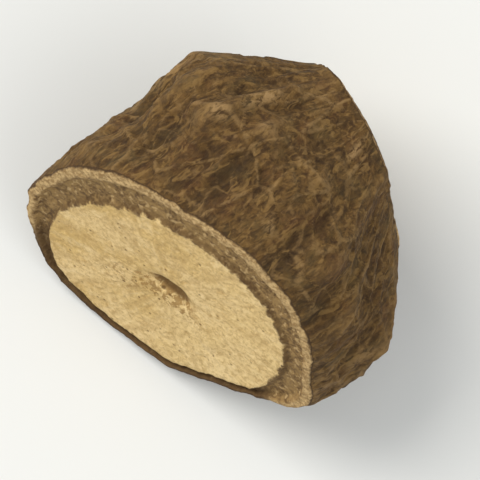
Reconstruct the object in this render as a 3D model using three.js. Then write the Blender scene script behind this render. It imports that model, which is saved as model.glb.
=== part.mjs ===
// One cut piece of dried guaco root, as it lies on its side. Millimetres, +Z up.
// The root's length runs along X. The slanted cut faces -X and a little up and to -Y.
// At the other end the root narrows over a rounded shoulder to a smaller cut that faces +X.
// It is one grown piece, so it is one closed surface: bark round the side and a cut face at each end.
// The origin is the middle of its outline seen from above, on the surface that it rests on.

import * as THREE from 'three';

// The root and its two cuts
const MEAN_RADIUS = 10.04;
const FRONT_LEAN = 0.495;        // how far the slanted cut runs back along X for each mm up
const FRONT_SKEW = 0.285;        // and for each mm towards -Y
const FAR_CUT_X = 14.5;          // where the far cut crosses the root's middle
const FAR_LEAN = 0.29;           // how far the far cut overhangs along X for each mm up
const FAR_SKEW = 0.15;           // and for each mm towards +Y
const SHOULDER = { from: 8.0, to: 16.8, loss: 0.495 };  // where the root narrows, and by what share
const BELLY = { at: 6.8, reach: 5.5, gain: 0.035 };     // slight swelling behind the slanted cut
const DRIFT_FROM = 4;            // from here the root's middle drifts to the far pith
const FLAT_SPOT_DEPTH = 0.70;    // how much of the underside is pressed flat

// Pith, and the round of wood about it, in each cut
const FRONT_PITH = { y: 0.1, z: -0.2, length: 2.9, width: 1.3, tilt: -10, bend: 0.11, depth: 0.6 };
const FRONT_WOOD = { y: -0.1, z: -1.35, radius: 8.3 };
const FAR_PITH = { y: 1.4, z: 0.3, length: 2.4, width: 1.9, tilt: 40, bend: 0, depth: 0.9 };
const FAR_WOOD = { y: 0.9, z: -0.3, radius: 4.7 };
const FAR_CRACK = { y: 0.55, z: 0.83, width: 0.32, depth: 0.55, reach: 3.9, taper: 1.5 };

// The bark seen in a cut, from its outer edge (0) to the wood (1): a pale rim, then a sunken brown layer
const THINNEST_BARK = 0.07;                             // as a share of the way from pith to rim
const PALE_RIM_ENDS = 0.26;
const SUNK_FROM = 0.40;
const SUNK_TO = 0.90;
const PALE_RIM_RISE = 0.10;
const SUNK_DEPTH = 0.28;
const EDGE_WEAR = { depth: 0.26, reach: 0.6 };          // the bark's edge curls in at a cut
const EDGE_CALM = { share: 0.45, reach: 3.0 };          // and its ridges and wrinkles are lower there

// How finely the surface is divided
const AROUND = 112;
const ALONG = 30;
const BARK_RINGS = [0.13, 0.26, 0.40, 0.90, 1];         // shares of the bark's thickness
const WOOD_RINGS = [0.55, 0.22, 0.08];                  // shares of the wood's reach
const CROWDING = 0.5;                                   // rows stand closer near the cuts
const RIM_PASSES = 14;

// The section's own shape: swellings and flats, by angle from +Y towards +Z
const SECTION_LOBES = [
  { at: 34, width: 27, height: 0.82 },
  { at: 96, width: 24, height: 0.20 },
  { at: 148, width: 22, height: -0.53 },
  { at: 187, width: 15, height: 0.85 },
  { at: 224, width: 24, height: -0.72 },
  { at: 275, width: 32, height: -0.45 },
  { at: 350, width: 22, height: 0.59 },
];

// Long ridges and furrows in the bark: angle, width in degrees, height, and the stretch of X they run
const RIDGE_FADE = 2;
const SWAY_PER_MM = 0.42;
const RIDGES = [
  { at: 50, width: 6.0, height: 0.44, from: 6, to: 14, sway: -2.5 },
  { at: 29, width: 5.5, height: 0.40, from: 4, to: 12, sway: 3.0 },
  { at: 12, width: 6.0, height: 0.36, from: 1, to: 11, sway: -2.5 },
  { at: 38, width: 5.5, height: -0.36, from: 3, to: 13, sway: 3.0 },
  { at: 66, width: 5.0, height: -0.26, from: 2, to: 9, sway: 4.0 },
  { at: 82, width: 5.5, height: 0.26, from: 5, to: 10, sway: -3.0 },
  { at: 97, width: 5.5, height: 0.26, from: 12, to: 18, sway: 2.0 },
  { at: 109, width: 5.5, height: -0.28, from: 6, to: 14, sway: 4.0 },
  { at: 122, width: 6.5, height: 0.40, from: 8, to: 17, sway: 5.0 },
  { at: 141, width: 6.0, height: 0.30, from: 2, to: 10, sway: -5.0 },
  { at: 163, width: 6.5, height: -0.40, from: 3, to: 14, sway: 4.0 },
  { at: 178, width: 5.5, height: 0.42, from: 1, to: 13, sway: 5.0 },
  { at: 203, width: 6.0, height: -0.48, from: -1, to: 15, sway: -4.0 },
  { at: 217, width: 5.5, height: 0.44, from: -2, to: 12, sway: 4.0 },
  { at: 241, width: 6.0, height: 0.30, from: -4, to: 9, sway: 3.0 },
  { at: 301, width: 6.5, height: 0.36, from: -4, to: 11, sway: -4.0 },
  { at: 318, width: 5.5, height: -0.50, from: -3, to: 13, sway: 3.5 },
  { at: 334, width: 6.0, height: 0.46, from: -4, to: 12, sway: 4.5 },
  { at: 352, width: 5.0, height: -0.42, from: -2, to: 14, sway: -3.0 },
];

// Round warts and hollows on the bark: angle, place along X, radius and height
const WARTS = [
  { at: 66, x: 10.7, radius: 1.35, height: 0.48 },
  { at: 92, x: 7.4, radius: 0.95, height: 0.28 },
  { at: 54, x: 3.9, radius: 1.10, height: -0.26 },
  { at: 131, x: 7.0, radius: 1.20, height: -0.32 },
  { at: 197, x: 8.2, radius: 1.50, height: 0.55 },
  { at: 344, x: 4.6, radius: 1.60, height: 0.50 },
  { at: 312, x: 7.4, radius: 1.20, height: 0.38 },
];

// Noise that breaks up the bark: lumps, long wrinkles and the net between them
const LUMPS = { perMm: 0.16, stretch: 1, height: 0.40, shift: 3.1 };
const WRINKLES = { perMm: 0.50, stretch: 0.30, height: 0.30, shift: 17.3 };
const NET = { perMm: 0.60, stretch: 0.80, height: 0.20, shift: 41.9 };
const CREST_SOFTNESS = 0.03;
const CREST_SLOPE = 2.4;

const RAD = Math.PI / 180;

function smoothstep(from, to, value) {
  const t = Math.min(1, Math.max(0, (value - from) / (to - from)));
  return t * t * (3 - 2 * t);
}

function hat(distance, width) {
  return Math.exp(-((distance / width) ** 2));
}

function degreesBetween(a, b) {
  return ((((a - b) % 360) + 540) % 360) - 180;
}

// A repeatable number from 0 to 1 for each corner of a lattice
function cornerValue(i, j, k) {
  const s = Math.sin(i * 127.1 + j * 311.7 + k * 74.7) * 43758.5453;
  return s - Math.floor(s);
}

// Smooth noise from -1 to 1
function noise(x, y, z) {
  const [i, j, k] = [Math.floor(x), Math.floor(y), Math.floor(z)];
  const ease = (t) => t * t * t * (t * (6 * t - 15) + 10);
  const [u, v, w] = [ease(x - i), ease(y - j), ease(z - k)];
  let sum = 0;
  for (const a of [0, 1]) {
    for (const b of [0, 1]) {
      for (const c of [0, 1]) {
        const weight = (a ? u : 1 - u) * (b ? v : 1 - v) * (c ? w : 1 - w);
        sum += weight * cornerValue(i + a, j + b, k + c);
      }
    }
  }
  return 2 * sum - 1;
}

// Narrow crests between wide hollows, up to 1
function crests(x, y, z) {
  return 1 - CREST_SLOPE * Math.sqrt(noise(x, y, z) ** 2 + CREST_SOFTNESS);
}

// A field of noise on the bark, stretched along the root
function barkField(kind, field, angle, x) {
  const across = MEAN_RADIUS * field.perMm;
  return field.height * kind(
    x * field.perMm * field.stretch + field.shift,
    across * Math.cos(angle * RAD) + field.shift,
    across * Math.sin(angle * RAD) + field.shift,
  );
}

function sectionRadius(angle) {
  let radius = MEAN_RADIUS;
  for (const lobe of SECTION_LOBES) {
    radius += lobe.height * hat(degreesBetween(angle, lobe.at), lobe.width);
  }
  return radius;
}

// How full the root is at x, as a share of its section at the slanted cut
function fullness(x) {
  const belly = BELLY.gain * hat(x - BELLY.at, BELLY.reach);
  return 1 + belly - SHOULDER.loss * smoothstep(SHOULDER.from, SHOULDER.to, x);
}

// The root's middle drifts towards the pith of the far cut
function middleAt(x) {
  const share = smoothstep(DRIFT_FROM, FAR_CUT_X, x);
  return { y: FAR_PITH.y * share, z: FAR_PITH.z * share };
}

function ridgeRelief(angle, x) {
  let relief = 0;
  for (const ridge of RIDGES) {
    const wander = ridge.sway * Math.sin(x * SWAY_PER_MM + ridge.at);
    const begun = smoothstep(ridge.from - RIDGE_FADE, ridge.from + RIDGE_FADE, x);
    const ended = smoothstep(ridge.to - RIDGE_FADE, ridge.to + RIDGE_FADE, x);
    relief += ridge.height * begun * (1 - ended) * hat(degreesBetween(angle, ridge.at + wander), ridge.width);
  }
  return relief;
}

function wartRelief(angle, x) {
  let relief = 0;
  for (const wart of WARTS) {
    const across = degreesBetween(angle, wart.at) * RAD * MEAN_RADIUS;
    relief += wart.height * hat(Math.hypot(across, x - wart.x), wart.radius);
  }
  return relief;
}

// All relief of the bark: ridges, warts and wrinkles are lower towards the cuts
function barkRelief(angle, x, toCut) {
  const calm = EDGE_CALM.share + (1 - EDGE_CALM.share) * smoothstep(0, EDGE_CALM.reach, toCut);
  const wrinkles = barkField(crests, WRINKLES, angle, x) + barkField(crests, NET, angle, x);
  return barkField(noise, LUMPS, angle, x) + calm * (ridgeRelief(angle, x) + wartRelief(angle, x) + wrinkles);
}

// A point of the bark, at an angle and a place x along the root
function barkPoint(angle, x, toCut) {
  const wear = EDGE_WEAR.depth * Math.exp(-toCut / EDGE_WEAR.reach);
  const radius = sectionRadius(angle) * fullness(x) + barkRelief(angle, x, toCut) - wear;
  const middle = middleAt(x);
  return new THREE.Vector3(
    x,
    middle.y + radius * Math.cos(angle * RAD),
    middle.z + radius * Math.sin(angle * RAD),
  );
}

// The bark's edge at a cut: x is worked out again until the point lies in the cut's plane
function rimPoint(angle, cut) {
  let point = barkPoint(angle, cut.planeX(0, 0), 0);
  for (let pass = 0; pass < RIM_PASSES; pass += 1) {
    point = barkPoint(angle, cut.planeX(point.y, point.z), 0);
  }
  return point;
}

// Long hollow where the soft pith has dried out
function pithDepth(pith, y, z) {
  const [dy, dz] = [y - pith.y, z - pith.z];
  const along = dy * Math.cos(pith.tilt * RAD) + dz * Math.sin(pith.tilt * RAD);
  const across = dz * Math.cos(pith.tilt * RAD) - dy * Math.sin(pith.tilt * RAD) + pith.bend * along ** 2;
  return pith.depth * hat(along, pith.length / 2) * hat(across, pith.width / 2);
}

// Drying crack that runs from the pith of the far cut towards the bark, along its own y and z
function crackDepth(y, z) {
  const [dy, dz] = [y - FAR_PITH.y, z - FAR_PITH.z];
  const along = dy * FAR_CRACK.y + dz * FAR_CRACK.z;
  const across = dz * FAR_CRACK.y - dy * FAR_CRACK.z;
  const begun = smoothstep(-FAR_CRACK.width, FAR_PITH.depth, along);
  const ended = smoothstep(FAR_CRACK.reach - FAR_CRACK.taper, FAR_CRACK.reach, along);
  return FAR_CRACK.depth * begun * (1 - ended) * hat(across, FAR_CRACK.width);
}

const FRONT_CUT = {
  pith: FRONT_PITH,
  wood: FRONT_WOOD,
  planeX: (y, z) => FRONT_LEAN * z - FRONT_SKEW * y,
  outward: new THREE.Vector3(-1, -FRONT_SKEW, FRONT_LEAN).normalize(),
  unevenness: (y, z) => 0.07 * noise(y * 0.35 + 5, z * 0.35 + 5, 2.5),
};

const FAR_CUT = {
  pith: FAR_PITH,
  wood: FAR_WOOD,
  planeX: (y, z) => FAR_CUT_X + FAR_LEAN * (z - FAR_PITH.z) + FAR_SKEW * (y - FAR_PITH.y),
  outward: new THREE.Vector3(1, -FAR_SKEW, -FAR_LEAN).normalize(),
  unevenness: (y, z) => 0.12 * noise(y * 0.4 + 9, z * 0.4 + 9, 7.5) - crackDepth(y, z),
};

// How far along the line from the pith to the rim the wood ends
function woodShare(cut, rim) {
  const [ry, rz] = [rim.y - cut.pith.y, rim.z - cut.pith.z];
  const [wy, wz] = [cut.pith.y - cut.wood.y, cut.pith.z - cut.wood.z];
  const a = ry * ry + rz * rz;
  const b = ry * wy + rz * wz;
  const c = wy * wy + wz * wz - cut.wood.radius ** 2;
  return Math.min(1 - THINNEST_BARK, (-b + Math.sqrt(b * b - a * c)) / a);
}

// A point of a cut face, at a share of the way from its pith to its rim
function cutPoint(cut, rim, share) {
  const y = cut.pith.y + share * (rim.y - cut.pith.y);
  const z = cut.pith.z + share * (rim.z - cut.pith.z);
  const intoBark = (1 - share) / (1 - woodShare(cut, rim));
  const paleRim = 1 - smoothstep(PALE_RIM_ENDS, SUNK_FROM, intoBark);
  const sunk = smoothstep(PALE_RIM_ENDS, SUNK_FROM, intoBark) * (1 - smoothstep(SUNK_TO, 1, intoBark));
  const barkHeight = PALE_RIM_RISE * paleRim - SUNK_DEPTH * sunk;
  const height = barkHeight + cut.unevenness(y, z) - pithDepth(cut.pith, y, z);
  return new THREE.Vector3(cut.planeX(y, z), y, z).addScaledVector(cut.outward, height);
}

// Rings of a cut face, from just inside its rim to just outside its middle
function cutRows(cut, rims) {
  const barkRows = BARK_RINGS.map((depth) => rims.map((rim) => {
    return cutPoint(cut, rim, 1 - depth * (1 - woodShare(cut, rim)));
  }));
  const woodRows = WOOD_RINGS.map((reach) => rims.map((rim) => {
    return cutPoint(cut, rim, reach * woodShare(cut, rim));
  }));
  return [...barkRows, ...woodRows];
}

// Rows of the bark, closer together near the cuts
function barkRows(angles, frontRims, farRims) {
  const rows = [];
  for (let n = 0; n <= ALONG; n += 1) {
    const t = n / ALONG;
    const share = t - CROWDING * Math.sin(2 * Math.PI * t) / (2 * Math.PI);
    rows.push(angles.map((angle, m) => {
      const length = farRims[m].x - frontRims[m].x;
      return barkPoint(angle, frontRims[m].x + share * length, Math.min(share, 1 - share) * length);
    }));
  }
  return rows;
}

// Closes the rows into one surface with a middle point at each end, faces pointing out
function closedSurface(rows, firstMiddle, lastMiddle) {
  const points = [firstMiddle, ...rows.flat(), lastMiddle];
  const last = points.length - 1;
  const at = (row, n) => 1 + row * AROUND + (n % AROUND);
  const faces = [];
  for (let n = 0; n < AROUND; n += 1) {
    faces.push(0, at(0, n + 1), at(0, n));
    for (let row = 0; row < rows.length - 1; row += 1) {
      faces.push(at(row, n), at(row, n + 1), at(row + 1, n + 1));
      faces.push(at(row, n), at(row + 1, n + 1), at(row + 1, n));
    }
    faces.push(at(rows.length - 1, n), at(rows.length - 1, n + 1), last);
  }
  return { points, faces };
}

// Presses the lowest part of the underside flat and puts the origin under the piece's middle
function setDown(points) {
  const floor = Math.min(...points.map((p) => p.z)) + FLAT_SPOT_DEPTH;
  for (const p of points) {
    p.z = Math.max(0, p.z - floor);
  }
  const middle = new THREE.Box3().setFromPoints(points).getCenter(new THREE.Vector3());
  for (const p of points) {
    p.x -= middle.x;
    p.y -= middle.y;
  }
}

function rootPieceGeometry() {
  const angles = Array.from({ length: AROUND }, (_, n) => (360 * n) / AROUND);
  const frontRims = angles.map((angle) => rimPoint(angle, FRONT_CUT));
  const farRims = angles.map((angle) => rimPoint(angle, FAR_CUT));
  const rows = [
    ...cutRows(FRONT_CUT, frontRims).reverse(),
    ...barkRows(angles, frontRims, farRims),
    ...cutRows(FAR_CUT, farRims),
  ];
  const frontMiddle = cutPoint(FRONT_CUT, frontRims[0], 0);
  const farMiddle = cutPoint(FAR_CUT, farRims[0], 0);
  const { points, faces } = closedSurface(rows, frontMiddle, farMiddle);
  setDown(points);
  const geometry = new THREE.BufferGeometry().setFromPoints(points);
  geometry.setIndex(faces);
  geometry.computeVertexNormals();
  return geometry;
}

const rootMaterial = new THREE.MeshStandardMaterial({ color: 0x6b5237, roughness: 0.9, metalness: 0 });
const rootPiece = new THREE.Mesh(rootPieceGeometry(), rootMaterial);
rootPiece.name = 'root_piece';

const group = new THREE.Group();
group.add(rootPiece);

export default group;
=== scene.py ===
# Looks of one cut piece of dried guaco root, lying on its side and seen from straight above.
# The surface has the shape of the CAD solid, with thin crests, grain and pores added to it.
# The shape's functions work in millimetres, with X along the root from the middle of the slanted cut.
import itertools
import math
from collections import namedtuple

import bpy
import numpy as np
from mathutils import Matrix, Vector


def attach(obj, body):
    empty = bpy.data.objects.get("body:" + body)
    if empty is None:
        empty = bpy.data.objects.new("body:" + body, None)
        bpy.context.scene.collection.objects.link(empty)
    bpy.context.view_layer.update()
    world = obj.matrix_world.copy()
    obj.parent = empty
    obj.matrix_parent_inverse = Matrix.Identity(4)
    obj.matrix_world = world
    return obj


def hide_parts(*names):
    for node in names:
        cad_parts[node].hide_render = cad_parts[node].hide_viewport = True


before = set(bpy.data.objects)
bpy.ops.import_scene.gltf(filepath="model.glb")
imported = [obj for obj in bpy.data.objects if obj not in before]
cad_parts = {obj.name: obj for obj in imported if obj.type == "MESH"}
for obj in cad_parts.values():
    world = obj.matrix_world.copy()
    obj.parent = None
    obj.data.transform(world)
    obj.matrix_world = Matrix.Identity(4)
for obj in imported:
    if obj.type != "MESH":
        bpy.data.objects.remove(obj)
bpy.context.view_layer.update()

MM_PER_M = 1000

# The root and its two cuts
MEAN_RADIUS = 10.04
FRONT_LEAN = 0.495         # how far the slanted cut runs back along X for each mm up
FRONT_SKEW = 0.285         # and for each mm towards -Y
FAR_CUT_X = 14.5           # where the far cut crosses the root's middle
FAR_LEAN = 0.29            # how far the far cut overhangs along X for each mm up
FAR_SKEW = 0.15            # and for each mm towards +Y
SHOULDER = dict(start=8.0, end=16.8, loss=0.495)    # where the root narrows, and by what share
BELLY = dict(at=6.8, reach=5.5, gain=0.035)         # slight swelling behind the slanted cut
DRIFT_FROM = 4             # from here the root's middle drifts to the far pith
FLAT_SPOT_DEPTH = 0.70     # how much of the underside is pressed flat
HALFWAY_X = 7              # the slanted cut's points all lie before this, and the far cut's all past it

# Pith, and the round of wood about it, in each cut
FRONT_PITH = dict(y=0.1, z=-0.2, length=2.9, width=1.3, tilt=-10, bend=0.11, depth=0.6)
FRONT_WOOD = dict(y=-0.1, z=-1.35, radius=8.3)
FAR_PITH = dict(y=1.4, z=0.3, length=2.4, width=1.9, tilt=40, bend=0, depth=0.9)
FAR_WOOD = dict(y=0.9, z=-0.3, radius=4.7)
FAR_CRACK = dict(y=0.55, z=0.83, width=0.32, depth=0.55, reach=3.9, taper=1.5, narrowing=0.65)

# Brown spongy wood: beside and round the slanted cut's pith, and round the far cut's
SPONGY_SPOT = dict(y=2.6, z=-2.6, radius=2.6, strength=0.55)
SPONGY_ROUND_PITH = dict(y=0.2, z=-0.9, wider=2.1)
FAR_SPONGY_SHARE = 0.6

# The bark seen in a cut, from its outer edge (0) to the wood (1): a pale rim, then a sunken brown layer
ON_BARK = -1.0             # stands for points that aren't in a cut
THINNEST_BARK = 0.07       # as a share of the way from pith to rim
PALE_RIM_ENDS = 0.26
SUNK_FROM = 0.40
SUNK_TO = 0.90
GRAIN_BEGINS = (0, 0.15)
WOOD_BEGINS = (0.95, 1.1)
PALE_RIM_RISE = 0.10
SUNK_DEPTH = 0.28
EDGE_WEAR = dict(depth=0.26, reach=0.6)    # the bark's edge curls in at a cut
EDGE_CALM = dict(share=0.45, reach=3.0)    # and its ridges and wrinkles are lower there

# Thickness in mm up to which the bark in a cut is painted dark all through (painted shade on the thin lower
# edge by the floor, with the bark's own dark), and from which it has its pale rim
FULL_SHADE_THICKNESS = 0.8
NO_SHADE_THICKNESS = 1.7

# How finely the surface is divided: rows crowd near the cuts, and a cut has rings of bark and of wood
COARSE = dict(around=112, along=30, crowding=0.5, front=(5, 3), far=(5, 3))    # as many as the CAD solid has
FINE = dict(around=432, along=112, crowding=0.25, front=(24, 44), far=(16, 22))
RIM_PASSES = 14

# Swellings and flats of the section: angle from +Y towards +Z, width in degrees, height
SECTION_LOBES = [
    (34, 27, 0.82), (96, 24, 0.20), (148, 22, -0.53), (187, 15, 0.85), (224, 24, -0.72), (275, 32, -0.45),
    (350, 22, 0.59),
]

# Long ridges and furrows: angle, width in degrees, height, the stretch of X they run, sway in degrees
RIDGE_FADE = 2
SWAY_PER_MM = 0.42
Ridge = namedtuple("Ridge", "at width height start end sway")
RIDGES = [Ridge(*values) for values in (
    (50, 6.0, 0.44, 6, 14, -2.5), (29, 5.5, 0.40, 4, 12, 3.0), (12, 6.0, 0.36, 1, 11, -2.5),
    (38, 5.5, -0.36, 3, 13, 3.0), (66, 5.0, -0.26, 2, 9, 4.0), (82, 5.5, 0.26, 5, 10, -3.0),
    (97, 5.5, 0.26, 12, 18, 2.0), (109, 5.5, -0.28, 6, 14, 4.0), (122, 6.5, 0.40, 8, 17, 5.0),
    (141, 6.0, 0.30, 2, 10, -5.0), (163, 6.5, -0.40, 3, 14, 4.0), (178, 5.5, 0.42, 1, 13, 5.0),
    (203, 6.0, -0.48, -1, 15, -4.0), (217, 5.5, 0.44, -2, 12, 4.0), (241, 6.0, 0.30, -4, 9, 3.0),
    (301, 6.5, 0.36, -4, 11, -4.0), (318, 5.5, -0.50, -3, 13, 3.5), (334, 6.0, 0.46, -4, 12, 4.5),
    (352, 5.0, -0.42, -2, 14, -3.0),
)]

# Round warts and hollows: angle, place along X, radius, height
Wart = namedtuple("Wart", "at x radius height")
WARTS = [Wart(*values) for values in (
    (66, 10.7, 1.35, 0.48), (92, 7.4, 0.95, 0.28), (54, 3.9, 1.10, -0.26), (131, 7.0, 1.20, -0.32),
    (197, 8.2, 1.50, 0.55), (344, 4.6, 1.60, 0.50), (312, 7.4, 1.20, 0.38),
)]

# Where the bark is pale, partly worn and partly a painted highlight on ridge crests: lines and spots as
# above, with a strength in place of the height
PALE_RIDGES = [Ridge(*values) for values in (
    (50, 4.0, 0.9, 6, 14, -2.5), (12, 5.0, 0.9, 2, 11, -2.5), (97, 4.0, 0.9, 12, 18, 2.0),
    (82, 3.0, 0.7, 6, 9, -3.0), (178, 4.0, 0.7, 1, 13, 5.0), (217, 4.0, 0.6, -2, 12, 4.0),
    (334, 4.0, 0.7, -4, 12, 4.5), (301, 4.0, 0.6, -4, 11, -4.0),
)]
PALE_SPOTS = [Wart(*values) for values in (
    (66, 10.7, 0.8, 0.5), (92, 7.4, 0.6, 0.6), (197, 8.2, 0.9, 0.5), (344, 4.6, 0.9, 0.5),
)]
PALE_BREAKS = dict(share=0.45, per_mm=0.9, per_radian=8, layer=3.3)

# Noise on the bark: waves per mm, stretch along the root, height, and a shift that gives each its own pattern
LUMPS = dict(per_mm=0.16, stretch=1, height=0.40, shift=3.1)
WRINKLES = dict(per_mm=0.50, stretch=0.30, height=0.30, shift=17.3)
NET = dict(per_mm=0.60, stretch=0.80, height=0.20, shift=41.9)
ROUGHNESS = dict(per_mm=1.4, stretch=0.60, height=0.08, shift=51.2)
FINE_ROUGHNESS = dict(per_mm=2.8, stretch=0.60, height=0.05, shift=61.2)
CREST_SLOPE = 2.4
CREST_SOFTNESS = 0.03
SHARP_CREST_SOFTNESS = 0.01

# Nets of thin crests on the bark: cells round the root, their length, and width and bend as shares of a cell
LONG_NET = dict(around=22, length=5.6, width=0.09, bend=0.60, height=0.17)
SHORT_NET = dict(around=46, length=2.3, width=0.14, bend=0.65, height=0.09)
NET_BENDS_PER_CELL = 1.1
NET_BEND_SHIFTS = (8.6, 33.2)
NET_POINT_LAYERS = (3, 8)

# Noise on the cuts: waves per mm, height, and a shift in three directions that gives each its own pattern
FRONT_UNEVENNESS = dict(per_mm=0.35, height=0.07, shift=(5, 5, 2.5))
FAR_UNEVENNESS = dict(per_mm=0.4, height=0.12, shift=(9, 9, 7.5))
UNSTEADY_Y = dict(per_mm=0.9, height=0.34, shift=(3, 0, 12.7))
UNSTEADY_Z = dict(per_mm=0.9, height=0.34, shift=(0, 7, 21.3))
BARK_GRAIN = dict(per_mm=1.7, height=0.05, shift=(0, 0, 8.3))
FINE_BARK_GRAIN = dict(per_mm=3.1, height=0.03, shift=(0, 0, 1.9))
WOOD_GRAIN = dict(per_mm=1.6, height=0.022, shift=(0, 30, 6.1))
PORES = dict(per_mm=2.9, height=1, shift=(40, 0, 4.4))
PORE_EDGES = (0.38, 0.62)  # noise at which a pore begins, and from which it is as deep as it gets
PORE_DEPTH = 0.07


def smoothstep(start, end, value):
    t = np.clip((value - start) / (end - start), 0, 1)
    return t * t * (3 - 2 * t)


def hat(distance, width):
    return np.exp(-((distance / width) ** 2))


def degrees_between(a, b):
    return (a - b + 180) % 360 - 180


def corner_value(i, j, k):
    """A repeatable number from 0 to 1 for each corner of a lattice."""
    s = np.sin(i * 127.1 + j * 311.7 + k * 74.7) * 43758.5453
    return s - np.floor(s)


def noise(x, y, z):
    """Smooth noise from -1 to 1."""
    x, y, z = np.broadcast_arrays(x, y, z)
    i, j, k = np.floor(x), np.floor(y), np.floor(z)

    def ease(t):
        return t * t * t * (t * (6 * t - 15) + 10)

    u, v, w = ease(x - i), ease(y - j), ease(z - k)
    total = 0
    for a, b, c in itertools.product((0, 1), repeat=3):
        weight = (u if a else 1 - u) * (v if b else 1 - v) * (w if c else 1 - w)
        total = total + weight * corner_value(i + a, j + b, k + c)
    return 2 * total - 1


def crests(x, y, z, softness=CREST_SOFTNESS):
    """Narrow crests between wide hollows, up to 1."""
    return 1 - CREST_SLOPE * np.sqrt(noise(x, y, z) ** 2 + softness)


def sharp_crests(x, y, z):
    return crests(x, y, z, SHARP_CREST_SOFTNESS)


def bark_field(kind, field, angle, x):
    """Noise on the bark, stretched along the root."""
    across = MEAN_RADIUS * field["per_mm"]
    return field["height"] * kind(
        x * field["per_mm"] * field["stretch"] + field["shift"],
        across * np.cos(np.radians(angle)) + field["shift"],
        across * np.sin(np.radians(angle)) + field["shift"],
    )


def cut_field(kind, field, y, z):
    """Noise on a cut face."""
    shift_y, shift_z, layer = field["shift"]
    return field["height"] * kind(y * field["per_mm"] + shift_y, z * field["per_mm"] + shift_z, layer)


def section_radius(angle):
    radius = MEAN_RADIUS + 0 * angle
    for at, width, height in SECTION_LOBES:
        radius = radius + height * hat(degrees_between(angle, at), width)
    return radius


def fullness(x):
    """How full the root is at x, as a share of its section at the slanted cut."""
    belly = BELLY["gain"] * hat(x - BELLY["at"], BELLY["reach"])
    return 1 + belly - SHOULDER["loss"] * smoothstep(SHOULDER["start"], SHOULDER["end"], x)


def ridge_share(ridge, angle, x):
    """1 on the ridge's line, falling to 0 beside it and past its ends."""
    wander = ridge.sway * np.sin(x * SWAY_PER_MM + ridge.at)
    begun = smoothstep(ridge.start - RIDGE_FADE, ridge.start + RIDGE_FADE, x)
    ended = smoothstep(ridge.end - RIDGE_FADE, ridge.end + RIDGE_FADE, x)
    return begun * (1 - ended) * hat(degrees_between(angle, ridge.at + wander), ridge.width)


def wart_share(wart, angle, x):
    across = np.radians(degrees_between(angle, wart.at)) * MEAN_RADIUS
    return hat(np.hypot(across, x - wart.x), wart.radius)


def calm_at(to_cut):
    """Ridges and wrinkles are lower towards the cuts."""
    return EDGE_CALM["share"] + (1 - EDGE_CALM["share"]) * smoothstep(0, EDGE_CALM["reach"], to_cut)


def coarse_relief(angle, x, to_cut):
    """The relief that the CAD solid has too."""
    relief = sum(ridge.height * ridge_share(ridge, angle, x) for ridge in RIDGES)
    relief = relief + sum(wart.height * wart_share(wart, angle, x) for wart in WARTS)
    relief = relief + bark_field(crests, WRINKLES, angle, x)
    relief = relief + bark_field(crests, NET, angle, x)
    return bark_field(noise, LUMPS, angle, x) + calm_at(to_cut) * relief


def net_lines(net, angle, x):
    """A net of lines on the bark, round scattered points: 1 on a line, 0 between them."""
    bends = dict(per_mm=NET_BENDS_PER_CELL / net["length"], stretch=1, height=net["bend"])
    bend_a, bend_b = (bark_field(noise, dict(bends, shift=shift), angle, x) for shift in NET_BEND_SHIFTS)
    a, b = x / net["length"] + bend_a, angle / 360 * net["around"] + bend_b
    i, j = np.floor(a), np.floor(b)
    nearest = second = np.full(np.shape(a), np.inf)
    for step_i, step_j in itertools.product((-1, 0, 1), repeat=2):
        p, q = i + step_i, j + step_j
        offset_a, offset_b = (corner_value(p, q % net["around"], layer) for layer in NET_POINT_LAYERS)
        distance = np.hypot(p + offset_a - a, q + offset_b - b)
        second = np.minimum(second, np.maximum(nearest, distance))
        nearest = np.minimum(nearest, distance)
    return hat(second - nearest, net["width"])


def fine_relief(angle, x, to_cut):
    """The relief that is too fine for the CAD solid."""
    nets = sum(net["height"] * net_lines(net, angle, x) for net in (LONG_NET, SHORT_NET))
    rough = bark_field(noise, ROUGHNESS, angle, x) + bark_field(noise, FINE_ROUGHNESS, angle, x)
    return calm_at(to_cut) * (nets + rough)


def bark_points(angle, x, to_cut, fine):
    wear = EDGE_WEAR["depth"] * np.exp(-to_cut / EDGE_WEAR["reach"])
    radius = section_radius(angle) * fullness(x) + coarse_relief(angle, x, to_cut) - wear
    if fine:
        radius = radius + fine_relief(angle, x, to_cut)
    drift = smoothstep(DRIFT_FROM, FAR_CUT_X, x)
    y = FAR_PITH["y"] * drift + radius * np.cos(np.radians(angle))
    z = FAR_PITH["z"] * drift + radius * np.sin(np.radians(angle))
    return np.stack([x + 0 * y, y, z], -1)


def front_plane(y, z):
    return FRONT_LEAN * z - FRONT_SKEW * y


def far_plane(y, z):
    return FAR_CUT_X + FAR_LEAN * (z - FAR_PITH["z"]) + FAR_SKEW * (y - FAR_PITH["y"])


def rim_points(angle, plane, fine):
    """The bark's edge at a cut: X is worked out again until the points lie in the cut's plane."""
    points = bark_points(angle, plane(0, 0) + 0 * angle, 0, fine)
    for _ in range(RIM_PASSES):
        points = bark_points(angle, plane(points[:, 1], points[:, 2]), 0, fine)
    return points


def unsteady(y, z):
    """Moves points a little, so that the pith's and the crack's edges aren't smooth."""
    return y + cut_field(noise, UNSTEADY_Y, y, z), z + cut_field(noise, UNSTEADY_Z, y, z)


def pith_share(pith, y, z, wider=1):
    """1 in the middle of the pith, falling to 0 round it."""
    y, z = unsteady(y, z)
    dy, dz = y - pith["y"], z - pith["z"]
    c, s = math.cos(math.radians(pith["tilt"])), math.sin(math.radians(pith["tilt"]))
    along = dy * c + dz * s
    across = dz * c - dy * s + pith["bend"] * along**2
    return hat(along, wider * pith["length"] / 2) * hat(across, wider * pith["width"] / 2)


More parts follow.
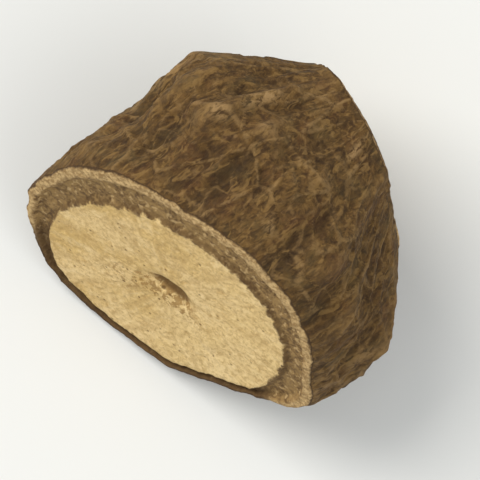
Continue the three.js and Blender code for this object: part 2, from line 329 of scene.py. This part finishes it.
def crack_share(y, z):
    """1 along the drying crack that runs from the far cut's pith towards the bark."""
    y, z = unsteady(y, z)
    dy, dz = y - FAR_PITH["y"], z - FAR_PITH["z"]
    along = dy * FAR_CRACK["y"] + dz * FAR_CRACK["z"]
    across = dz * FAR_CRACK["y"] - dy * FAR_CRACK["z"]
    begun = smoothstep(-FAR_CRACK["width"], FAR_PITH["depth"], along)
    ended = smoothstep(FAR_CRACK["reach"] - FAR_CRACK["taper"], FAR_CRACK["reach"], along)
    width = FAR_CRACK["width"] * (1 - FAR_CRACK["narrowing"] * smoothstep(0, FAR_CRACK["reach"], along))
    return begun * (1 - ended) * hat(across, width)


def front_unevenness(y, z):
    return cut_field(noise, FRONT_UNEVENNESS, y, z)


def far_unevenness(y, z):
    return cut_field(noise, FAR_UNEVENNESS, y, z) - FAR_CRACK["depth"] * crack_share(y, z)


FRONT_CUT = dict(
    pith=FRONT_PITH, wood=FRONT_WOOD, plane=front_plane, unevenness=front_unevenness,
    outward=np.array([-1, -FRONT_SKEW, FRONT_LEAN]),
)
FAR_CUT = dict(
    pith=FAR_PITH, wood=FAR_WOOD, plane=far_plane, unevenness=far_unevenness,
    outward=np.array([1, -FAR_SKEW, -FAR_LEAN]),
)


def wood_share(cut, rims):
    """How far along the line from the pith to the rim the wood ends."""
    pith, wood = cut["pith"], cut["wood"]
    ry, rz = rims[:, 1] - pith["y"], rims[:, 2] - pith["z"]
    wy, wz = pith["y"] - wood["y"], pith["z"] - wood["z"]
    a, b, c = ry * ry + rz * rz, ry * wy + rz * wz, wy * wy + wz * wz - wood["radius"] ** 2
    return np.minimum(1 - THINNEST_BARK, (-b + np.sqrt(b * b - a * c)) / a)


def cut_height(cut, y, z, into, fine):
    """How far a point of a cut stands out of the cut's plane."""
    past_rim = smoothstep(PALE_RIM_ENDS, SUNK_FROM, into)
    sunk = past_rim * (1 - smoothstep(SUNK_TO, 1, into))
    height = PALE_RIM_RISE * (1 - past_rim) - SUNK_DEPTH * sunk
    height = height + cut["unevenness"](y, z) - cut["pith"]["depth"] * pith_share(cut["pith"], y, z)
    if fine:
        in_bark = 1 - smoothstep(*WOOD_BEGINS, into)
        bark_grain = cut_field(sharp_crests, BARK_GRAIN, y, z) + cut_field(noise, FINE_BARK_GRAIN, y, z)
        pores = PORE_DEPTH * smoothstep(*PORE_EDGES, cut_field(noise, PORES, y, z))
        height = height + in_bark * bark_grain * smoothstep(*GRAIN_BEGINS, into)
        height = height + (1 - in_bark) * (cut_field(noise, WOOD_GRAIN, y, z) - pores)
    return height


def cut_points(cut, rims, share, fine):
    """Points of a cut face, and how far each is into the bark: 0 at the rim, 1 at the wood, more inside."""
    pith = cut["pith"]
    ry, rz = rims[:, 1] - pith["y"], rims[:, 2] - pith["z"]
    y, z = pith["y"] + share * ry, pith["z"] + share * rz
    bark_share = 1 - wood_share(cut, rims)
    into = (1 - share) / bark_share
    outward = cut["outward"] / np.linalg.norm(cut["outward"])
    height = cut_height(cut, y, z, into, fine)
    points = np.stack([cut["plane"](y, z), y, z], -1) + height[:, None] * outward
    # Share of painted shade where the cut's bark is thin, as on the slanted cut's lower edge by the floor
    thin = 1 - smoothstep(FULL_SHADE_THICKNESS, NO_SHADE_THICKNESS, bark_share * np.hypot(ry, rz))
    return dict(points=points, into=into, thin=thin, across=np.stack([y, z], -1))


def cut_rows(cut, rims, rings, angle, fine):
    """Rings of a cut face, from just inside its rim to its middle."""
    bark_rings, wood_rings = rings
    edge = wood_share(cut, rims)
    shares = [1 - (1 - edge) * (n + 1) / bark_rings for n in range(bark_rings)]
    shares += [edge * (1 - (n + 1) / (wood_rings + 1)) for n in range(wood_rings)]
    shares.append(0 * edge)
    return [dict(cut_points(cut, rims, share, fine), angle=angle, x=0 * angle) for share in shares]


def bark_rows(divisions, front_rims, far_rims, angle, fine):
    """Rows of the bark, closer together near the cuts, with a cut's rim as the first and the last."""
    along = divisions["along"]
    length = far_rims[:, 0] - front_rims[:, 0]
    rows = []
    for n in range(along + 1):
        t = n / along
        share = t - divisions["crowding"] * math.sin(2 * math.pi * t) / (2 * math.pi)
        x = front_rims[:, 0] + share * length
        points = bark_points(angle, x, min(share, 1 - share) * length, fine)
        into = np.full(len(angle), ON_BARK if 0 < n < along else 0.0)
        rows.append(dict(points=points, into=into, thin=0 * angle, across=points[:, 1:], angle=angle, x=x))
    return rows


def surface(divisions, fine):
    """Rows of points from the slanted cut's pith, over the bark, to the far cut's, and what each point is."""
    angle = np.arange(divisions["around"]) * 360 / divisions["around"]
    front_rims, far_rims = (rim_points(angle, cut["plane"], fine) for cut in (FRONT_CUT, FAR_CUT))
    return [
        *reversed(cut_rows(FRONT_CUT, front_rims, divisions["front"], angle, fine)),
        *bark_rows(divisions, front_rims, far_rims, angle, fine),
        *cut_rows(FAR_CUT, far_rims, divisions["far"], angle, fine),
    ]


def set_down_shift():
    """Where the CAD solid's origin is: under the middle of its outline, on its flat spot."""
    points = np.concatenate([row["points"] for row in surface(COARSE, False)])
    low, high = points.min(0), points.max(0)
    return np.array([(low[0] + high[0]) / 2, (low[1] + high[1]) / 2, low[2] + FLAT_SPOT_DEPTH])


def bark_marks(angle, x):
    """How pale the bark is, partly from wear and partly as painted highlight, on the crests of some ridges
    and in round spots.
    """
    wear_and_highlight = 0
    for ridge in PALE_RIDGES:
        along = x * PALE_BREAKS["per_mm"] + ridge.at
        round_root = np.radians(angle) * PALE_BREAKS["per_radian"]
        breaks = noise(along, round_root, PALE_BREAKS["layer"])
        broken = 1 - PALE_BREAKS["share"] + PALE_BREAKS["share"] * breaks
        wear_and_highlight = wear_and_highlight + ridge.height * broken * ridge_share(ridge, angle, x)
    for spot in PALE_SPOTS:
        wear_and_highlight = wear_and_highlight + spot.height * wart_share(spot, angle, x)
    return wear_and_highlight


def rays_from_pith(in_front, y, z):
    """The direction from the pith of the point's own cut, and how far away it is."""
    to_y = y - np.where(in_front, FRONT_PITH["y"], FAR_PITH["y"])
    to_z = z - np.where(in_front, FRONT_PITH["z"], FAR_PITH["z"])
    not_zero = 1e-6
    reach = np.hypot(to_y, to_z) + not_zero
    return np.stack([to_y / reach, to_z / reach, reach], -1)


def spongy_share(in_front, pith, y, z):
    """How brown and spongy the wood is beside the pith."""
    spot = np.hypot(y - SPONGY_SPOT["y"], z - SPONGY_SPOT["z"])
    beside = SPONGY_SPOT["strength"] * hat(spot, SPONGY_SPOT["radius"])
    shifted = y - SPONGY_ROUND_PITH["y"], z - SPONGY_ROUND_PITH["z"]
    around = pith_share(FRONT_PITH, *shifted, SPONGY_ROUND_PITH["wider"])
    return np.where(in_front, np.maximum(around, beside), FAR_SPONGY_SHARE * pith)


def joined(rows, key):
    """The rows' values in one array, with a single point for the row at each end."""
    return np.concatenate([rows[0][key][:1], *(row[key] for row in rows[1:-1]), rows[-1][key][:1]])


def point_values(rows):
    """What the material needs to know at each point, by the name of the mesh's attribute."""
    into, across, angle, x = (joined(rows, key) for key in ("into", "across", "angle", "x"))
    on_bark = into < 0
    in_front = joined(rows, "points")[:, 0] < HALFWAY_X
    y, z = across[:, 0], across[:, 1]
    pith = np.where(in_front, pith_share(FRONT_PITH, y, z), pith_share(FAR_PITH, y, z))
    return dict(
        into=into,
        thin=joined(rows, "thin"),
        long_net=np.where(on_bark, net_lines(LONG_NET, angle, x), 0),
        short_net=np.where(on_bark, net_lines(SHORT_NET, angle, x), 0),
        # Relief height, used for painted highlight on crests and painted shade in furrows
        relief_light_and_shade=np.where(on_bark, coarse_relief(angle, x, EDGE_CALM["reach"]), 0),
        wear_and_highlight=np.where(on_bark, bark_marks(angle, x), 0),
        pith=np.where(on_bark, 0, pith),
        spongy=np.where(on_bark, 0, spongy_share(in_front, pith, y, z)),
        crack=np.where(on_bark | in_front, 0, crack_share(y, z)),
        grain=rays_from_pith(in_front, y, z),
    )


def root_faces(row_count, around):
    """Quads between the rows, and a fan of triangles round the single point at each end."""
    ring = np.arange(around)
    after = (ring + 1) % around
    first = 1 + np.arange(row_count)[:, None] * around
    quads = np.stack([first[:-1] + ring, first[:-1] + after, first[1:] + after, first[1:] + ring], -1)
    last_row = int(first[-1, 0])
    pairs = list(zip(ring.tolist(), after.tolist()))
    fans = [(0, 1 + b, 1 + a) for a, b in pairs]
    fans += [(last_row + a, last_row + b, last_row + around) for a, b in pairs]
    return quads.reshape(-1, 4).tolist() + fans


def add_attribute(mesh, name, values):
    kind, field = ("FLOAT", "value") if values.ndim == 1 else ("FLOAT_VECTOR", "vector")
    attribute = mesh.attributes.new(name, kind, "POINT")
    attribute.data.foreach_set(field, values.astype(float).ravel())


def add_object(name, data):
    thing = bpy.data.objects.new(name, data)
    bpy.context.scene.collection.objects.link(thing)
    return thing


def make_root_piece(material):
    rows = surface(FINE, True)
    points = joined(rows, "points") - set_down_shift()
    points[:, 2] = np.maximum(points[:, 2], 0)
    mesh = bpy.data.meshes.new("root_piece_fine")
    mesh.from_pydata((points / MM_PER_M).tolist(), [], root_faces(len(rows) - 2, FINE["around"]))
    for name, values in point_values(rows).items():
        add_attribute(mesh, name, values)
    mesh.polygons.foreach_set("use_smooth", np.ones(len(mesh.polygons), dtype=bool))
    mesh.materials.append(material)
    return add_object("root_piece_fine", mesh)


def tone(red, green, blue):
    """A colour from its sRGB values, 0 to 255."""
    def linear(v):
        v = v / 255
        return v / 12.92 if v <= 0.04045 else ((v + 0.055) / 1.055) ** 2.4
    return (linear(red), linear(green), linear(blue), 1)


# Noise textures that the colours follow: scale in waves per mm, and how much of it is left along the root
Pattern = namedtuple("Pattern", "scale detail roughness distortion along", defaults=(0.0, 1))
PATTERNS = dict(
    fibres=Pattern(2.8, 5, 0.68, 0.6, 0.35),
    strokes=Pattern(1.5, 3, 0.6, 1.2, 0.45),
    mottle=Pattern(0.42, 4, 0.6, 0.4),
    clouds=Pattern(1.1, 5, 0.7, 0.9),
    net_gaps=Pattern(1.0, 4, 0.65, 0.5),
    bark_bumps=Pattern(5.5, 4, 0.6),
    skin_border=Pattern(2.2, 3, 0.6),
    brown_border=Pattern(0.9, 4, 0.6),
    wood_border=Pattern(1.3, 5, 0.65),
    fine=Pattern(3.4, 4, 0.65, 0.3),
    brown_clouds=Pattern(0.8, 4, 0.65, 0.8),
    specks=Pattern(2.4, 2, 0.5, 0.15),
    patches=Pattern(0.28, 3, 0.5),
    grit=Pattern(3.0, 5, 0.68, 0.5),
    mealy=Pattern(1.05, 4, 0.7, 0.8),
    sponge=Pattern(2.3, 4, 0.65, 0.6),
    cut_bumps=Pattern(7, 3, 0.6),
)
RAYS = Pattern(1.0, 4, 0.6, 0.2)
RAY_STRETCH = (7, 7, 0.16)
HOLES_PER_MM = 1.15
SPONGY_HOLE_SIZE = 0.16
# How far the border of the wood's painted light wanders with the patches
LIT_SIDE_WANDER = 5.0

# Values of a pattern at which something begins and is full, and what it goes from and to if not from 0 to 1
NET_GAPS_END = (0.40, 0.60)
NET_ON_FIBRES = (0.36, 0.52, 0.3, 1)
WORN_AND_LIT_FIBRES = (0.40, 0.58)
SPONGE = (0.44, 0.58)
SURFACE_ROUGHNESS = (0.3, 0.7, 0.72, 0.92)

# Layers of colour, each laid over those before it as its field goes from start to full, within another field
Layer = namedtuple("Layer", "field start full share tone within", defaults=(None,))

BARK_TONE = (60, 41, 19)
BARK_LAYERS = [
    Layer("fibres", 0.36, 0.64, 1, (98, 72, 36)),
    Layer("clouds", 0.50, 0.64, 0.45, (119, 90, 49)),
    Layer("clouds", 0.46, 0.34, 0.45, (50, 35, 19)),
    Layer("mottle", 0.50, 0.66, 0.35, (84, 71, 43)),
    Layer("mottle", 0.48, 0.34, 0.30, (88, 55, 31)),
    # Painted highlight on the bark's relief crests and painted shade in its furrows
    Layer("relief_light_and_shade", 0.10, 0.65, 0.35, (122, 94, 57)),
    Layer("relief_light_and_shade", -0.10, -0.60, 0.50, (44, 31, 17)),
    Layer("strokes", 0.53, 0.66, 0.55, (133, 103, 58)),
    Layer("strokes", 0.46, 0.34, 0.35, (56, 40, 22)),
    Layer("short_net", 0.25, 0.95, 0.50, (126, 98, 60), "net_breaks"),
    Layer("long_net", 0.25, 0.95, 0.55, (140, 111, 70), "net_breaks"),
    # Pale crests and spots: partly wear, partly painted highlight
    Layer("wear_and_highlight", 0.15, 0.75, 0.75, (158, 127, 84), "worn_and_lit_fibres"),
]

RIM_TONE = (148, 117, 73)
RIM_LAYERS = [Layer("fine", 0.36, 0.66, 1, (206, 174, 122))]
# Painted shade over the rim where a cut's bark is thin
THIN_RIM_SHADE_TONE = (76, 55, 31)

BROWN_TONE = (98, 72, 42)
BROWN_LAYERS = [
    Layer("fine", 0.36, 0.64, 1, (150, 120, 75)),
    Layer("brown_clouds", 0.44, 0.60, 0.65, (166, 134, 84)),
    Layer("specks", 0.56, 0.68, 0.60, (208, 175, 122)),
]
# Painted shade over the brown layer where a cut's bark is thin, and how much of it
THIN_BROWN_SHADE_TONE = (82, 59, 34)
THIN_BROWN_SHADE_SHARE = 0.8

WOOD_TONE = (218, 184, 118)
WOOD_LAYERS = [
    Layer("patches", 0.38, 0.62, 1, (232, 201, 142)),
    # Painted light: the wood is paler towards -Y
    Layer("side", 6.0, -5.0, 0.65, (242, 212, 152)),
    Layer("grit", 0.42, 0.66, 0.62, (170, 136, 82)),
    Layer("grit", 0.42, 0.28, 0.60, (244, 218, 168)),
    Layer("mealy", 0.54, 0.68, 0.45, (176, 140, 82)),
    Layer("mealy", 0.46, 0.34, 0.40, (240, 212, 158)),
    Layer("rays", 0.45, 0.68, 0.42, (182, 148, 92)),
    Layer("rays", 0.46, 0.30, 0.35, (232, 206, 158)),
    Layer("holes", 0.16, 0.07, 0.55, (132, 102, 60)),
    Layer("blotches", 0.24, 0.62, 0.80, (152, 116, 64)),
    Layer("spongy_holes", -0.10, 0.0, 0.85, (112, 82, 44)),
    # Dark pith slit: partly the pith's own brown, partly painted shade in the slit
    Layer("pith", 0.24, 0.65, 0.90, (108, 79, 43)),
    # Painted shade in the far cut's drying crack
    Layer("crack", 0.25, 0.8, 0.85, (66, 47, 27)),
]

# Where each layer of a cut begins, by how far into the bark it is, and how far that border wanders
SKIN_TONE = (72, 52, 31)
CUT_COLOUR_FROM = (-0.5, -0.2)
RIM_COLOUR_FROM = (0.0, 0.05)
BROWN_COLOUR_FROM = (0.20, 0.32)
# A dark line at the foot of the step up to the wood: painted shade over the brown layer
STEP_SHADE_LINE = Layer("wood_border", 0.84, 0.95, 0.6, (86, 63, 37))
WOOD_COLOUR_FROM = (0.98, 1.07)
BORDER_WANDER = dict(skin_border=0.10, brown_border=0.34, wood_border=0.42)

# Bumps finer than the surface itself: shares of two patterns on the bark and on the cuts
BARK_BUMPS = dict(fibres=0.6, bark_bumps=0.4)
CUT_BUMPS = dict(grit=0.5, cut_bumps=0.3)
BUMP_STRENGTH = 0.8
BUMP_DISTANCE = 0.0002
SPECULAR = 0.2


class Shader:
    """Short ways to add the shader nodes used here."""

    def __init__(self, name):
        self.material = bpy.data.materials.new(name)
        self.material.use_nodes = True
        self.tree = self.material.node_tree
        self.tree.nodes.clear()

    def add(self, kind, sockets, **settings):
        node = self.tree.nodes.new(kind)
        for name, value in settings.items():
            setattr(node, name, value)
        for key, value in sockets.items():
            if isinstance(value, bpy.types.NodeSocket):
                self.tree.links.new(value, node.inputs[key])
            else:
                node.inputs[key].default_value = value
        return node

    def math(self, operation, a, b):
        return self.add("ShaderNodeMath", {0: a, 1: b}, operation=operation).outputs[0]

    def mix(self, share, a, b):
        return self.add("ShaderNodeMix", {0: share, 6: a, 7: b}, data_type="RGBA").outputs[2]

    def mix_values(self, share, a, b):
        return self.add("ShaderNodeMix", {0: share, 2: a, 3: b}, data_type="FLOAT").outputs[0]

    def attribute(self, name, output="Fac"):
        return self.add("ShaderNodeAttribute", {}, attribute_name=name).outputs[output]

    def ramp(self, value, start, end, low=0.0, high=1.0):
        sockets = {"Value": value, "From Min": start, "From Max": end, "To Min": low, "To Max": high}
        node = self.add("ShaderNodeMapRange", sockets, interpolation_type="SMOOTHSTEP", clamp=True)
        return node.outputs["Result"]

    def scaled(self, vector, by):
        return self.add("ShaderNodeMapping", {"Vector": vector, "Scale": by}).outputs["Vector"]

    def noise(self, vector, pattern):
        sockets = {
            "Vector": self.scaled(vector, (pattern.along, 1, 1)), "Scale": pattern.scale,
            "Detail": pattern.detail, "Roughness": pattern.roughness, "Distortion": pattern.distortion,
        }
        return self.add("ShaderNodeTexNoise", sockets).outputs["Fac"]

    def cells(self, vector, scale):
        return self.add("ShaderNodeTexVoronoi", {"Vector": vector, "Scale": scale}).outputs["Distance"]

    def layered(self, colour, layers, fields):
        """The colour with the layers laid over it in turn."""
        for layer in layers:
            share = self.ramp(fields[layer.field], layer.start, layer.full, 0, layer.share)
            if layer.within:
                share = self.math("MULTIPLY", share, fields[layer.within])
            colour = self.mix(share, colour, tone(*layer.tone))
        return colour

    def weighted(self, shares, fields):
        """The sum of two fields, each by its share."""
        first, second = (self.math("MULTIPLY", fields[name], share) for name, share in shares.items())
        return self.math("ADD", first, second)


def root_fields(s):
    """Everything that the root's colours follow, by name."""
    mm = s.scaled(s.add("ShaderNodeTexCoord", {}).outputs["Object"], (MM_PER_M, MM_PER_M, MM_PER_M))
    fields = {name: s.noise(mm, pattern) for name, pattern in PATTERNS.items()}
    for name in ("into", "thin", "long_net", "short_net", "relief_light_and_shade", "wear_and_highlight", "pith", "spongy", "crack"):
        fields[name] = s.attribute(name)
    for name, wander in BORDER_WANDER.items():
        offset = s.math("MULTIPLY", s.math("SUBTRACT", fields[name], 0.5), wander)
        fields[name] = s.math("ADD", fields["into"], offset)

    gaps, fibres = s.ramp(fields["net_gaps"], *NET_GAPS_END), s.ramp(fields["fibres"], *NET_ON_FIBRES)
    fields["net_breaks"] = s.math("MULTIPLY", gaps, fibres)
    # Fibres that break up the pale crests of wear and painted highlight
    fields["worn_and_lit_fibres"] = s.ramp(fields["fibres"], *WORN_AND_LIT_FIBRES)

    # Painted light on the wood, paler towards -Y, with a wandering border
    across = s.add("ShaderNodeSeparateXYZ", {"Vector": mm}).outputs["Y"]
    fields["side"] = s.math("ADD", across, s.math("MULTIPLY", fields["patches"], LIT_SIDE_WANDER))
    fields["rays"] = s.noise(s.scaled(s.attribute("grain", "Vector"), RAY_STRETCH), RAYS)
    fields["holes"] = s.cells(mm, HOLES_PER_MM)
    fields["blotches"] = s.math("MULTIPLY", fields["spongy"], s.ramp(fields["sponge"], *SPONGE))
    hole_size = s.math("MULTIPLY", fields["spongy"], SPONGY_HOLE_SIZE)
    fields["spongy_holes"] = s.math("SUBTRACT", hole_size, fields["holes"])
    return fields


def cut_colour(s, fields):
    """Pale rim, brown layer, dark line of painted shade at the step up to the wood, and wood, each from its
    own border on.
    """
    rim = s.layered(tone(*RIM_TONE), RIM_LAYERS, fields)
    # Where the cut's bark is thin, painted shade darkens the rim and the brown layer
    rim = s.mix(fields["thin"], rim, tone(*THIN_RIM_SHADE_TONE))
    brown = s.layered(tone(*BROWN_TONE), BROWN_LAYERS, fields)
    brown = s.mix(s.math("MULTIPLY", fields["thin"], THIN_BROWN_SHADE_SHARE), brown, tone(*THIN_BROWN_SHADE_TONE))
    wood = s.layered(tone(*WOOD_TONE), WOOD_LAYERS, fields)
    cut = s.mix(s.ramp(fields["skin_border"], *RIM_COLOUR_FROM), tone(*SKIN_TONE), rim)
    cut = s.mix(s.ramp(fields["brown_border"], *BROWN_COLOUR_FROM), cut, brown)
    cut = s.layered(cut, [STEP_SHADE_LINE], fields)
    return s.mix(s.ramp(fields["wood_border"], *WOOD_COLOUR_FROM), cut, wood)


def root_material():
    """Bark, and the cuts with their rim, brown layer, wood and pith."""
    s = Shader("dried_root")
    fields = root_fields(s)
    in_cut = s.ramp(fields["into"], *CUT_COLOUR_FROM)
    bark = s.layered(tone(*BARK_TONE), BARK_LAYERS, fields)
    colour = s.mix(in_cut, bark, cut_colour(s, fields))
    height = s.mix_values(in_cut, s.weighted(BARK_BUMPS, fields), s.weighted(CUT_BUMPS, fields))
    bump = s.add("ShaderNodeBump", {"Strength": BUMP_STRENGTH, "Distance": BUMP_DISTANCE, "Height": height})
    roughness = s.ramp(fields["fine"], *SURFACE_ROUGHNESS)
    body = s.add("ShaderNodeBsdfPrincipled", {
        "Base Color": colour, "Roughness": roughness, "Normal": bump.outputs["Normal"],
        "Specular IOR Level": SPECULAR,
    })
    s.add("ShaderNodeOutputMaterial", {"Surface": body.outputs["BSDF"]})
    return s.material


# The pale floor
FLOOR_HALF = 3
FLOOR_PATTERN = Pattern(8.0, 2, 0.55)
FLOOR_TONES = ((214, 214, 210), (220, 220, 216))
FLOOR_ROUGHNESS = 0.6


def make_floor():
    s = Shader("pale_floor")
    place = s.add("ShaderNodeTexCoord", {}).outputs["Object"]
    darker, paler = (tone(*values) for values in FLOOR_TONES)
    shade = s.mix(s.noise(place, FLOOR_PATTERN), darker, paler)
    body = s.add("ShaderNodeBsdfPrincipled", {"Base Color": shade, "Roughness": FLOOR_ROUGHNESS})
    s.add("ShaderNodeOutputMaterial", {"Surface": body.outputs["BSDF"]})
    mesh = bpy.data.meshes.new("floor")
    corners = [(x * FLOOR_HALF, y * FLOOR_HALF, 0) for x, y in ((-1, -1), (1, -1), (1, 1), (-1, 1))]
    mesh.from_pydata(corners, [], [(0, 1, 2, 3)])
    mesh.materials.append(s.material)
    return add_object("floor", mesh)


# The photo's camera, straight above, turned so that the root runs up to the right
ROOT_TURN = 35
CAMERA_HEIGHT = 0.62
CAMERA_LENS = 720
SENSOR_WIDTH = 36
CAMERA_SEES = (0.05, 10)

# Soft light from the photo's upper left, a weaker one from across, and light from all round
LIGHT_TARGET = (0, 0, 0.01)
KEY_LIGHT = dict(name="key", place=(-0.35, 0.35, 0.55), size=0.45, power=4.6, colour=(1.0, 0.98, 0.95))
FILL_LIGHT = dict(name="fill", place=(0.5, -0.3, 0.6), size=0.8, power=2.4, colour=(1, 1, 1))
SKY_COLOUR = (0.94, 0.97, 1.0, 1)
SKY_STRENGTH = 0.62


def add_light(name, place, size, power, colour):
    """A square light that is turned with the camera and aimed at the piece."""
    data = bpy.data.lights.new(name, "AREA")
    data.size = size
    data.energy = power
    data.color = colour
    light = add_object(name, data)
    light.location = Matrix.Rotation(-math.radians(ROOT_TURN), 3, "Z") @ Vector(place)
    light.rotation_euler = (Vector(LIGHT_TARGET) - light.location).to_track_quat("-Z", "Y").to_euler()


def add_world():
    world = bpy.data.worlds.new("studio")
    world.use_nodes = True
    background = world.node_tree.nodes["Background"]
    background.inputs["Color"].default_value = SKY_COLOUR
    background.inputs["Strength"].default_value = SKY_STRENGTH
    bpy.context.scene.world = world


def add_camera():
    data = bpy.data.cameras.new("camera")
    data.sensor_width = SENSOR_WIDTH
    data.lens = CAMERA_LENS
    data.clip_start, data.clip_end = CAMERA_SEES
    camera = add_object("camera", data)
    camera.location = (0, 0, CAMERA_HEIGHT)
    camera.rotation_euler = (0, 0, -math.radians(ROOT_TURN))
    bpy.context.scene.camera = camera


piece = make_root_piece(root_material())
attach(piece, "root")
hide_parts("root_piece")
make_floor()

add_light(**KEY_LIGHT)
add_light(**FILL_LIGHT)
add_world()
add_camera()
bpy.context.scene.view_settings.view_transform = "Standard"
